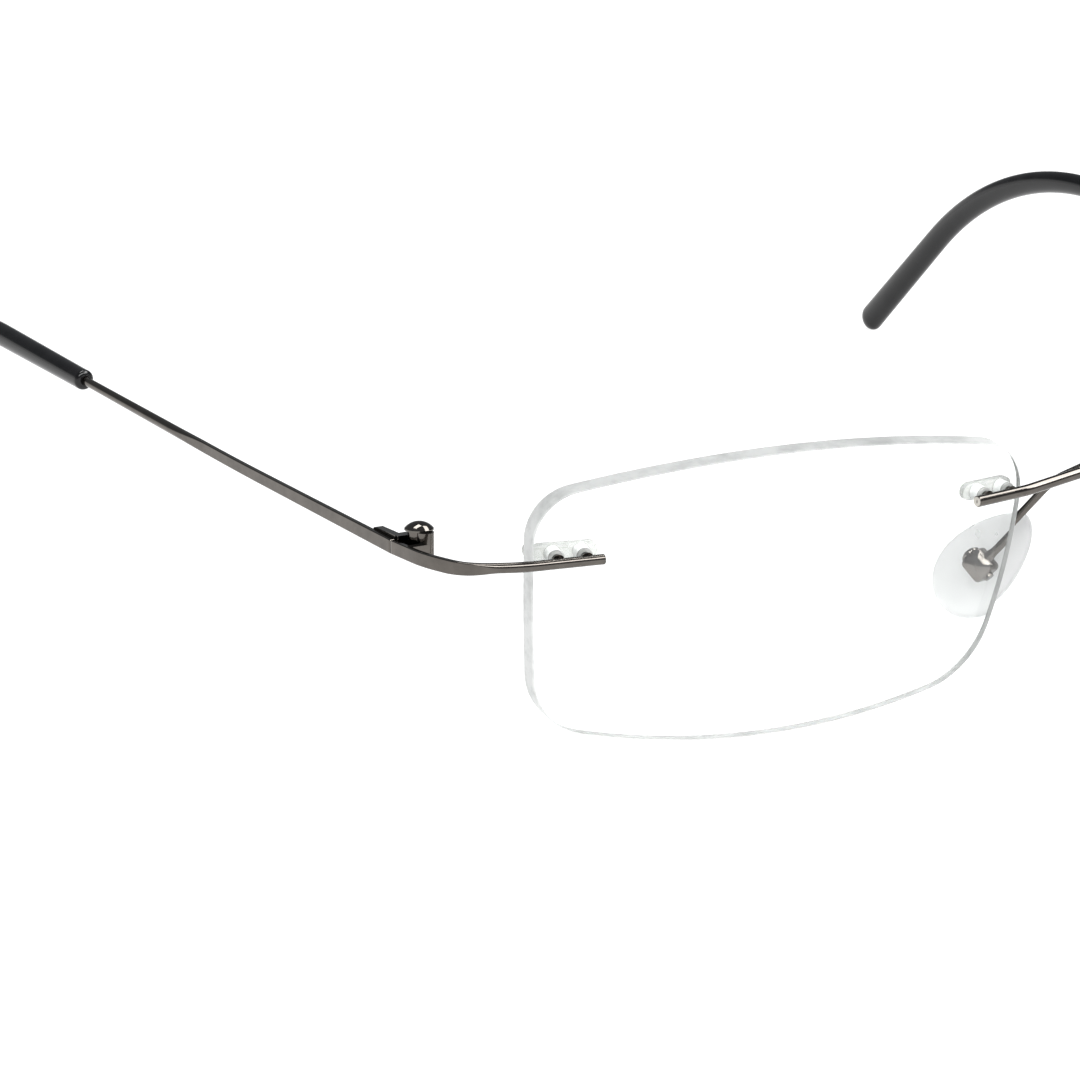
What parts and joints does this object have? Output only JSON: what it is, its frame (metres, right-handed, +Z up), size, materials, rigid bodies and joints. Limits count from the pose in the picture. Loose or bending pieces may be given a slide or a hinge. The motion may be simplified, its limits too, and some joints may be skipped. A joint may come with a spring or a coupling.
{
  "type": "eyeglasses",
  "caption": "Rimless rectangular eyeglasses with drilled clear lenses, wire bridge, rocking nose pads and slim folding temples with black tip covers.",
  "frame": {"origin": "on the surface that the open glasses stand on, in the plane of symmetry, midway between the front of the bridge and the ends of the temple tips", "axes": "+X towards the wearer's left, +Y from the lenses back along the temples, +Z up"},
  "size_m": [0.143, 0.1453, 0.0292],
  "materials": {
    "gunmetal": "satin gunmetal plating on wire",
    "screw_metal": "polished gunmetal plating",
    "lens_clear": "clear polycarbonate with pale ground edges",
    "sleeve_clear": "clear moulded plastic",
    "insert_clear": "clear moulded plastic",
    "silicone_clear": "soft translucent silicone",
    "tip_black": "glossy black"
  },
  "bodies": {
    "front": {"bridge_bar": "gunmetal", "right_lens": "lens_clear", "right_temporal_sleeve": "sleeve_clear", "right_nasal_sleeve": "sleeve_clear", "right_endpiece": "gunmetal", "right_endpiece_posts": "gunmetal", "right_bridge_posts": "gunmetal", "right_hinge_front_leaf": "gunmetal", "right_hinge_screw": "screw_metal", "right_pad_arm": "gunmetal", "right_pad_box": "gunmetal", "right_pad_screw": "screw_metal", "left_lens": "lens_clear", "left_temporal_sleeve": "sleeve_clear", "left_nasal_sleeve": "sleeve_clear", "left_endpiece": "gunmetal", "left_endpiece_posts": "gunmetal", "left_bridge_posts": "gunmetal", "left_hinge_front_leaf": "gunmetal", "left_hinge_screw": "screw_metal", "left_pad_arm": "gunmetal", "left_pad_box": "gunmetal", "left_pad_screw": "screw_metal"},
    "right_temple_side": {"right_temple": "gunmetal", "right_hinge_temple_leaf": "gunmetal", "right_temple_tip": "tip_black"},
    "right_pad_side": {"right_pad_insert": "insert_clear", "right_nose_pad": "silicone_clear"},
    "left_temple_side": {"left_temple": "gunmetal", "left_hinge_temple_leaf": "gunmetal", "left_temple_tip": "tip_black"},
    "left_pad_side": {"left_pad_insert": "insert_clear", "left_nose_pad": "silicone_clear"}
  },
  "joints": [
    {"name": "right_temple_hinge", "type": "hinge", "parent": "front", "child": "right_temple_side", "pos_m": [-0.06816, -0.05649, 0.0206], "axis": [0, 0, -1], "range_deg": [0, 87]},
    {"name": "left_temple_hinge", "type": "hinge", "parent": "front", "child": "left_temple_side", "pos_m": [0.06816, -0.05649, 0.0206], "axis": [0, 0, 1], "range_deg": [0, 92]},
    {"name": "right_pad_rock", "type": "hinge", "parent": "front", "child": "right_pad_side", "pos_m": [-0.01042, -0.06453, 0.01288], "axis": [0.2802, -0.6847, -0.6728], "range_deg": [-8, 8]},
    {"name": "left_pad_rock", "type": "hinge", "parent": "front", "child": "left_pad_side", "pos_m": [0.01042, -0.06453, 0.01288], "axis": [-0.2802, -0.6847, -0.6728], "range_deg": [-8, 8]}
  ]
}
